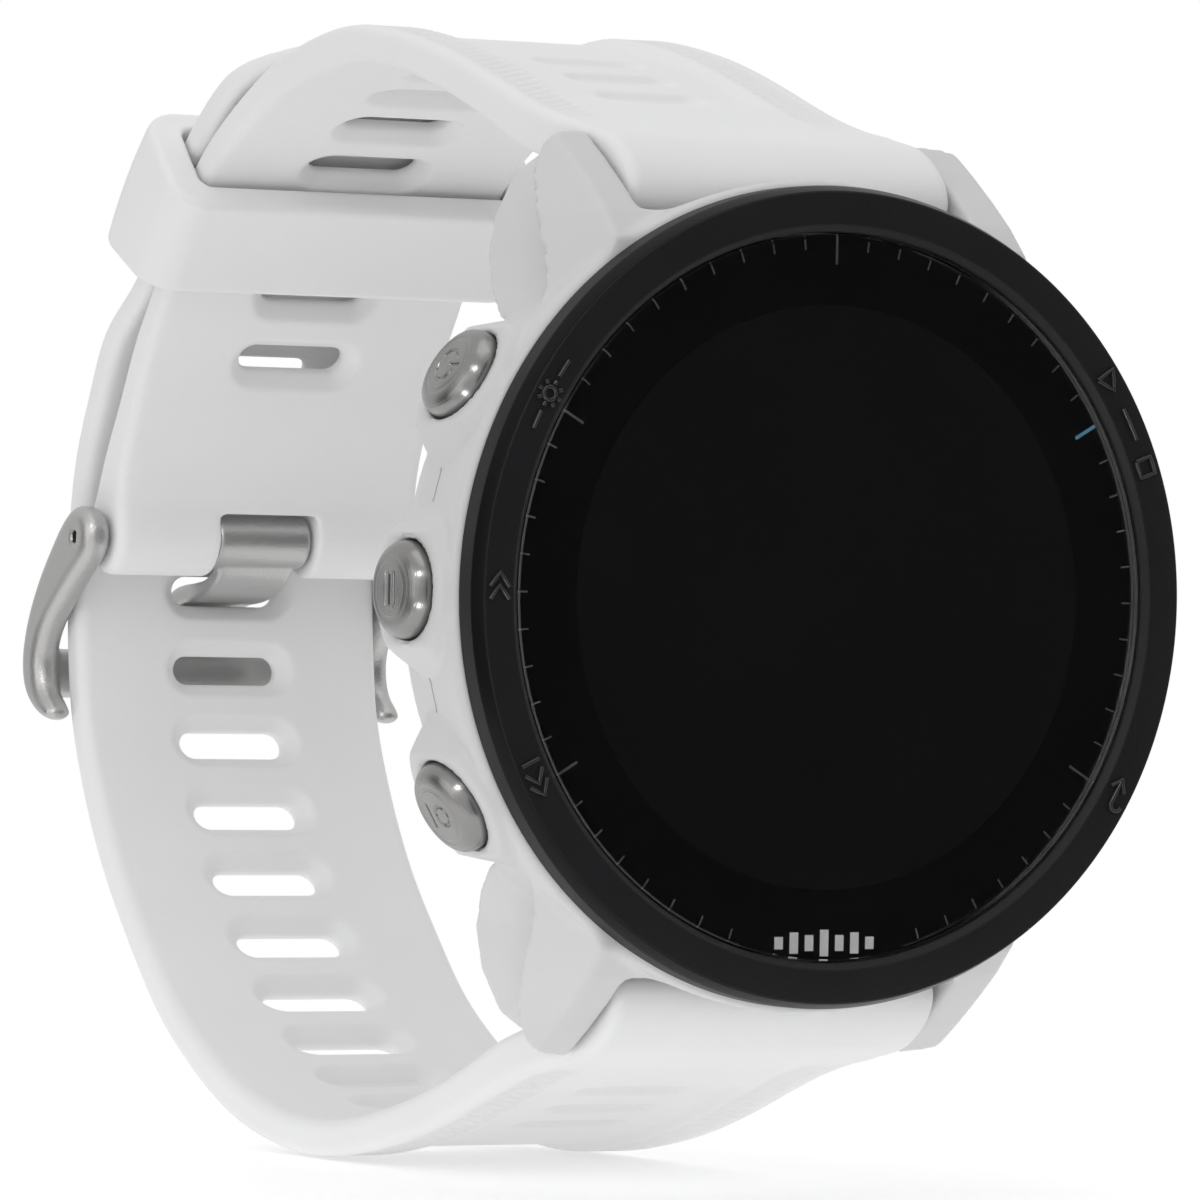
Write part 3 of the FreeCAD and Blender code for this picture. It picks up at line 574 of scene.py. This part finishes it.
LONG_IN = [(y, -z) for y, z in ROOT_IN] + [
    (41.6, -31.75), (46.6, -31.3), (51.8, -29.9), (56.8, -27.5), (60.4, -25.1), (63.9, -21.7), (66.9, -18.4),
    (69.3, -15.0), (71.2, -11.5), (72.5, -8.2), (73.2, -3.8), (73.5, 0.4), (73.3, 4.3), (72.6, 7.8),
    (71.0, 11.5), (68.9, 15.1)]
LONG_IN += [on_arc(23.7, a) for a in reversed(ARC)] + [(55.2, 29.35), (51.6, 31.35), (47.7, 32.85)]
ROLL = [
    (4.9, 22.2), (4.9, 23.3), (5.6, 24.5), (7.0, 25.6), (8.6, 26.3), (10.2, 26.6), (12.0, 26.9),
    (14.4, 26.6), (15.2, 24.6), (14.0, 22.6), (11.8, 21.6), (8.6, 21.5), (5.6, 21.7)]


class Band:
    """A strap half: its outer curve, its thickness, and the flat space (x, distance along, depth)."""

    def __init__(self, outer, inner, side):
        self.s, self.c = spline(outer)
        self.length = self.s[-1]
        tangent = np.gradient(self.c, self.s, axis=0)
        self.t = tangent / np.linalg.norm(tangent, axis=1, keepdims=True)
        self.n = np.stack([self.t[:, 1], -self.t[:, 0]], 1) * side
        low = spline(inner)[1]
        gap = np.linalg.norm(self.c[::8, None] - low[None, ::4], axis=2).min(1)
        near = self.s[::8]
        gap = np.where(near < 9, np.interp(9, near, gap), gap)
        self.thick = np.interp(self.s, near, gap)

    def at(self, y, z):
        """Flat coordinates of the point on the curve nearest to (y, z), or beyond its ends."""
        d = np.linalg.norm(self.c - [y, z], axis=1)
        i = int(d.argmin())
        rel = np.array([y, z]) - self.c[i]
        return self.s[i] + rel @ self.t[i], rel @ self.n[i]

    def depth(self, s):
        return np.interp(s, self.s, self.thick)

    def bend(self, v):
        """Flat (x, s, n) points to the dial frame."""
        x, s, n = v.T
        k = np.clip(s, 0, self.length)
        out = []
        for axis in (0, 1):
            c = np.interp(k, self.s, self.c[:, axis])
            t = np.interp(k, self.s, self.t[:, axis])
            m = np.interp(k, self.s, self.n[:, axis])
            out.append(c + (s - k) * t + n * m)
        return np.stack([x, out[0], out[1]], 1)


def strap_field(band, slots, grooves, barrel=None, tip=False):
    sign = np.sign(band.c[0, 1])
    roll_outline = soften([band.at(y, sign * z) for y, z in ROLL])

    def field(x, s, n):
        t = band.depth(s)
        w = STRAP_HALF_W + 0 * s
        ax = np.abs(x)
        side = smax(smax(-n, n - t, 0.9), smax(1.0 - s, s - band.length, 0.3), 0.9)
        side = smin(side, poly(s + 0 * n, n + 0 * s, roll_outline) - 0.1, 0.6)
        if barrel:
            side = smin(side, np.hypot(s - barrel[0], n - barrel[1]) - 2.3, 1.2)
        corner = 7.5 if tip else 0.8
        q1, q2 = ax - w + corner, s - band.length + corner
        plan = np.minimum(np.maximum(q1, q2), 0) + np.hypot(np.maximum(q1, 0), np.maximum(q2, 0)) - corner
        if not tip:
            plan = ax - w
        d = cross_section(side + 0 * plan, plan + 0 * side, 0.75)
        open_s = ease((s - 1) / 6) * ease((band.length - s - 2) / 3)
        panel = 0.55 * ease((w - 3.5 - ax) / 1.0) * ease((s - 6 - 0.25 * ax) / 5)
        rib = 0.13 * (1 + np.cos(2 * math.pi * (s + 0.55 * ax) / 0.85))
        rib = rib * ease((ax - w + 3.7) / 0.5) * ease((w - 0.8 - ax) / 0.5) * open_s
        d = smax(d, panel + rib - n, 0.2)
        near = slots[np.abs(s[..., None] - slots).argmin(-1)] if len(slots) else s + 1e3
        ds = np.hypot(np.maximum(ax - 2.7, 0), s - near) - 0.95
        flare = 0.75 * ease((n - t + 1.0) / 1.0) + 0.2 * ease((0.9 - n) / 0.6)
        d = smax(d, -(ds - flare), 0.4)
        near = grooves[np.abs(s[..., None] - grooves).argmin(-1)]
        ds = np.hypot(np.maximum(ax - 2.6, 0), s - near) - 0.75
        d = smax(d, -smax(ds, n - 1.0, 0.6), 0.6)
        if barrel:
            notch = smax(ax - 3.5, barrel[0] - 2.3 - s, 0.6)
            d = smax(d, -notch, 0.3)
            pin = np.hypot(s - barrel[0], n - barrel[1]) - 0.78
            d = np.maximum(d, -pin)
        return d

    return field


def strap(name, band, field, n_max, stands_for):
    v, f = surface(field, (-11.2, -6.6, -0.6), (11.2, band.length + 3.5, n_max), (0.28, 0.18, 0.21))
    obj = make(name, band.bend(v), f, None, STRAP_WHITE, stands_for)
    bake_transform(obj)
    return obj


short = Band(SHORT_OUT, SHORT_IN, 1)
first = short.at(66.4, 15.8)[0] + 0.7
slots = np.array([first - i * SLOT_PITCH for i in range(7)])
grooves = short.at(21.0, 29.6)[0] + np.arange(3) * GROOVE_PITCH
pin_at = short.at(PIN_Y, PIN_Z)
strap("strap_short", short, strap_field(short, slots, grooves, barrel=pin_at), 5.8,
      ["strap_short_root", "strap_short_end"])

long = Band(LONG_OUT, LONG_IN, -1)
hole = long.at(75.6, -0.3)[0]
slots = np.array([hole + i * SLOT_PITCH for i in range(-9, 7)])
grooves = long.at(21.0, -29.6)[0] + np.arange(3) * GROOVE_PITCH
strap("strap_long", long, strap_field(long, slots, grooves, tip=True), 5.8,
      ["strap_long_root", "strap_long_end"])


# ------------------------------------------------------------------ keeper
def keeper_field(x, y, z):
    dy, dz = y - CURVE_Y, z - CURVE_Z
    r = np.hypot(dy, dz)
    along = (np.arctan2(dz, dy) - math.radians(38.5)) * 23.5
    wall_out = cross_section(cross_section(np.abs(x) - 13.25 + 0 * r, np.abs(r - 23.4) - 4.1 + 0 * x, 2.4),
                             np.abs(along) - 4.1 + 0 * x, 0.5)
    wall_in = cross_section(np.abs(x) - 10.95 + 0 * r, np.abs(r - 23.6) - 2.45 + 0 * x, 0.8)
    return smax(wall_out, -wall_in, 0.3)


v, f = surface(keeper_field, (-13.8, 55.0, 17.0), (13.8, 68.5, 30.6), (0.22, 0.22, 0.22))
make("keeper_loop_piece", v, f, "keeper_loop", STRAP_WHITE, ["keeper"])

# ------------------------------------------------------------------ buckle
ARM = [
    (69.5, 4.6), (71.3, 4.6), (74.5, 1.2), (76.1, -1.1), (77.0, -3.0), (77.4, -4.9), (77.0, -6.7),
    (75.5, -7.9), (73.8, -8.3), (73.8, -7.9), (75.3, -6.7), (75.7, -4.6), (74.8, -2.7), (72.7, -0.8),
    (70.5, 0.9), (68.8, 2.1), (68.6, 3.6)]
BAR = [
    (76.15, -4.5), (76.5, -4.3), (77.1, -4.4), (77.45, -4.9), (77.35, -6.1), (76.9, -6.75), (76.4, -7.0),
    (76.1, -6.5)]
TONGUE = [
    (70.7, 1.0), (71.9, 0.25), (73.4, 0.0), (76.1, -0.2), (77.5, -1.1), (78.25, -2.6), (78.5, -4.6),
    (78.45, -6.7), (78.2, -7.05), (77.9, -6.8), (77.9, -4.4), (77.5, -2.6), (76.8, -1.45), (75.6, -0.85),
    (73.2, -0.65), (71.2, -0.1), (69.8, 1.2)]


def frame_field(x, y, z):
    ax = np.abs(x)
    arm = poly(y, z, soften(ARM)) - 0.35 + 0 * ax
    arm = cross_section(arm, np.abs(ax - 11.85) - 0.95 + 0 * y + 0 * z, 0.85)
    bar = np.maximum(poly(y, z, soften(BAR)) - 0.25 + 0 * ax, ax - 11.6 + 0 * y)
    d = smin(arm, bar, 0.7)
    d = np.maximum(d, -(np.hypot(y - PIN_Y, z - PIN_Z) - np.where(ax > 12.58, 0.4, 0.8)))
    rest = np.maximum(ax - 2.9, 77.3 - y)
    return smax(d, -(rest + 0 * z), 0.2)


v, f = surface(frame_field, (-13.2, 67.6, -9.2), (13.2, 78.4, 5.4), (0.2, 0.2, 0.2))
make("buckle_frame_piece", v, f, "buckle", BUCKLE_STEEL, ["buckle_frame"])


def tongue_field(x, y, z):
    ax = np.abs(x)
    blade = cross_section(poly(y, z, soften(TONGUE)) - 0.28 + 0 * ax, ax - 2.6 + 0 * y + 0 * z, 0.4)
    barrel = cross_section(np.hypot(y - PIN_Y, z - PIN_Z) - 1.75 + 0 * ax, ax - 3.25 + 0 * y + 0 * z, 0.25)
    d = smin(blade, barrel, 0.5)
    return np.maximum(d, -(np.hypot(y - PIN_Y, z - PIN_Z) - 0.8 + 0 * ax))


v, f = surface(tongue_field, (-3.6, 68.0, -7.7), (3.6, 79.2, 5.2), (0.14, 0.14, 0.14))
make("buckle_tongue_piece", v, f, "tongue", BUCKLE_STEEL, ["buckle_tongue"])


PIN_PROFILE = [
    (0.001, 11.4), (0.36, 11.4), (0.38, 12.42), (0.66, 12.5), (0.74, 12.42), (0.74, -12.42), (0.66, -12.5),
    (0.38, -12.42), (0.36, -11.4), (0.001, -11.4)]
v, f = lathe(PIN_PROFILE, 48)
v = v[:, [1, 0, 2]] + [0, PIN_Y, PIN_Z]
make("buckle_pin_piece", v, f, "clasp", PLAIN_STEEL, ["buckle_pin"])

# ------------------------------------------------------------------ buttons
def segment(x, y, x0, y0, x1, y1):
    t = np.clip(((x - x0) * (x1 - x0) + (y - y0) * (y1 - y0)) / ((x1 - x0) ** 2 + (y1 - y0) ** 2), 0, 1)
    return np.hypot(x - x0 - t * (x1 - x0), y - y0 - t * (y1 - y0))


def ring_line(x, y, r, gap=0.0):
    """Distance to a circle, or to one with a gap at its top."""
    d = np.abs(np.hypot(x, y) - r)
    to_end = np.hypot(np.abs(x) - gap, y - math.sqrt(r * r - gap * gap))
    return np.where((y > 0) & (np.abs(x) < gap), to_end, d)


def nearest(x, y, *strokes):
    """Distance to the nearest of some straight strokes (x0, y0, x1, y1)."""
    d = segment(x, y, *strokes[0])
    for stroke in strokes[1:]:
        d = np.minimum(d, segment(x, y, *stroke))
    return d


PICTURES = {
    "light": lambda x, y: np.minimum(ring_line(x, y, 0.95, 0.45), segment(x, y, 0, 0.35, 0, 1.3)),
    "up": lambda x, y: nearest(x, y, (-0.9, 0, 0.9, 0), (-0.9, 0.5, 0.9, 0.5), (-0.9, -0.5, 0.9, -0.5)),
    "down": lambda x, y: np.minimum(ring_line(x, y - 0.45, 0.6), segment(x, y, -0.7, -0.85, 0.7, -0.85)),
    "start": lambda x, y: nearest(x, y, (-0.5, -0.8, -0.5, 0.8), (-0.5, 0.8, 0.8, 0), (-0.5, -0.8, 0.8, 0)),
    "back": lambda x, y: nearest(x, y, (-0.8, 0, 0.8, 0), (-0.8, 0, -0.2, 0.6), (-0.8, 0, -0.2, -0.6)),
}


def cap_field(picture):
    """A button cap in its own frame: z outwards, 0 at its underside, with its picture sunk into the face."""
    def field(x, y, z):
        rr = np.hypot(x, y)
        top = 1.8 - rr ** 2 * 0.012 - 0.05 * np.exp(-((rr - 1.75) / 0.12) ** 2)
        body = smax(rr - 2.76, z - top, 1.1)
        groove = np.maximum(picture(x, y) - 0.09, top - 0.1 - z)
        return np.maximum(smax(body, -groove, 0.06), -z)
    return field


for name, angle in CLOCK.items():
    a = math.radians(angle)
    out = np.array([math.sin(a), 0, math.cos(a)])
    side = np.array([math.cos(a), 0, -math.sin(a)])
    c, f = surface(cap_field(PICTURES[name]), (-2.9, -2.9, -0.2), (2.9, 2.9, 2.0), (0.075, 0.075, 0.075))
    v = c[:, :1] * side + c[:, 1:2] * np.array([0, -1, 0]) + (c[:, 2:] + CAP_FOOT) * out
    v = v + np.array([0, BUTTON_Y, 0])
    cap = make("cap_" + name, v, f, "button_" + name + "_body", CAP_STEEL, ["button_" + name])
    far = np.hypot(c[:, 0], c[:, 1])
    turn = cap.data.attributes.new("turn", "FLOAT", "POINT")
    turn.data.foreach_set("value", far.astype(np.float32))
    radial = cap.data.attributes.new("radial", "FLOAT_VECTOR", "POINT")
    away = (c[:, :1] * side + c[:, 1:2] * np.array([0, -1, 0])) / np.maximum(far, 1e-6)[:, None]
    radial.data.foreach_set("vector", away.astype(np.float32).ravel())

# ------------------------------------------------------------------ CAD nodes that stay
STAY = {
    "back_cover": CASE_WHITE, "inner_frame": INNER_PLASTIC, "main_board": BOARD_GREEN,
    "sensor_board": BOARD_GREEN, "battery": BATTERY_FOIL, "buzzer": INNER_PLASTIC,
    "gps_antenna": CONTACT_BRASS, "button_switches": INNER_PLASTIC, "charging_contacts": CONTACT_BRASS,
    "back_gasket": SEAL_RUBBER, "button_seals": SEAL_RUBBER, "sensor_window": SENSOR_GLASS,
    "sensor_leds": LED_LENS}
for node, obj in frame["nodes"].items():
    if not obj.hide_render:
        obj.data.materials.clear()
        obj.data.materials.append(STAY.get(node, PLAIN_STEEL))

# ------------------------------------------------------------------ floor, light, camera
floor_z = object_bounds()[0][2] - 0.0002
mesh = bpy.data.meshes.new("floor")
turns = np.linspace(0, 2 * math.pi, 64, endpoint=False)
ring = [(FLOOR_RADIUS * math.sin(a), FLOOR_RADIUS * math.cos(a), floor_z) for a in turns]
mesh.from_pydata(ring, [], [tuple(range(63, -1, -1))])
floor = bpy.data.objects.new("floor", mesh)
bpy.context.scene.collection.objects.link(floor)
floor_white = material("floor_white", (0.9, 0.9, 0.9), 0.8)
floor_white.node_tree.nodes["Principled BSDF"].inputs["Emission Color"].default_value = (1, 1, 1, 1)
floor_white.node_tree.nodes["Principled BSDF"].inputs["Emission Strength"].default_value = 0.3
mesh.materials.append(floor_white)

scene = bpy.context.scene
scene.view_settings.view_transform = "Standard"
sky = bpy.data.worlds.new("studio")
scene.world = sky
sky.use_nodes = True
nt = sky.node_tree
back = nt.nodes["Background"]


def flag(toward, inner_deg, outer_deg, strength):
    """A soft dark patch of the studio: 1 outside it, strength at its middle."""
    coords = nt.nodes.new("ShaderNodeTexCoord")
    dot = nt.nodes.new("ShaderNodeVectorMath")
    dot.operation = "DOT_PRODUCT"
    dot.inputs[1].default_value = Vector(toward).normalized()
    nt.links.new(coords.outputs["Generated"], dot.inputs[0])
    fade = nt.nodes.new("ShaderNodeMapRange")
    fade.interpolation_type = "SMOOTHSTEP"
    fade.inputs["From Min"].default_value = math.cos(math.radians(outer_deg))
    fade.inputs["From Max"].default_value = math.cos(math.radians(inner_deg))
    fade.inputs["To Min"].default_value = 1.0
    fade.inputs["To Max"].default_value = strength
    nt.links.new(dot.outputs["Value"], fade.inputs["Value"])
    return fade.outputs["Result"]


def times(a, b):
    node = nt.nodes.new("ShaderNodeMath")
    node.operation = "MULTIPLY"
    for socket, value in zip(node.inputs, (a, b)):
        if isinstance(value, float):
            socket.default_value = value
        else:
            nt.links.new(value, socket)
    return node.outputs[0]


flags = times(flag((0.5, -0.866, 0.0), 26, 40, 0.02), flag((-0.95, 0.3, 0.0), 10, 40, 0.25))
light_level = times(flags, 0.78)
# The studio's walls are plain white to look at, and light the object at their own level
ray = nt.nodes.new("ShaderNodeLightPath")
pick = nt.nodes.new("ShaderNodeMix")
nt.links.new(ray.outputs["Is Camera Ray"], pick.inputs[0])
nt.links.new(light_level, pick.inputs[2])
pick.inputs[3].default_value = 1.0
nt.links.new(pick.outputs[0], back.inputs["Strength"])
back.inputs["Color"].default_value = (1, 1, 1, 1)


def area(name, place, target, size, power):
    light = bpy.data.lights.new(name, "AREA")
    light.shape = "RECTANGLE"
    light.size, light.size_y = size
    light.energy = power
    obj = bpy.data.objects.new(name, light)
    scene.collection.objects.link(obj)
    obj.location = place
    obj.rotation_euler = (Vector(target) - Vector(place)).to_track_quat("-Z", "Y").to_euler()
    return obj


area("key_top", (0.05, -0.15, 0.6), (0, -0.01, 0), (0.5, 0.5), 0.45)
area("front_left", (-0.38, -0.45, 0.22), (0, -0.02, 0), (0.3, 0.3), 0.08)
# Two small lights that show only in reflections, as the two streaks on each button cap
for name, height in (("glint_high", 0.26), ("glint_low", -0.26)):
    glint = area(name, (-0.23, -0.355, height), (-0.02, -0.04, 0), (0.1, 0.06), 0.35)
    glint.visible_diffuse = False
area("side_left", (-0.6, -0.1, 0.1), (0, 0, 0), (0.4, 0.5), 0.5)
area("side_right", (0.5, -0.35, 0.1), (0, 0, 0), (0.3, 0.4), 0.15)

FWD = Vector((0.49956, 0.86628, 0.00085))
RIGHT = Vector((0.86612, -0.49949, 0.01869))
UP = Vector((-0.01662, 0.0086, 0.99982))
camera = bpy.data.objects.new("camera", bpy.data.cameras.new("camera"))
scene.collection.objects.link(camera)
camera.data.sensor_width = 36
camera.data.lens = 257.475
eye = world((-253.228, -413.072, -0.795))
camera.matrix_world = Matrix.Translation(eye) @ Matrix((RIGHT, UP, -FWD)).transposed().to_4x4()
scene.camera = camera
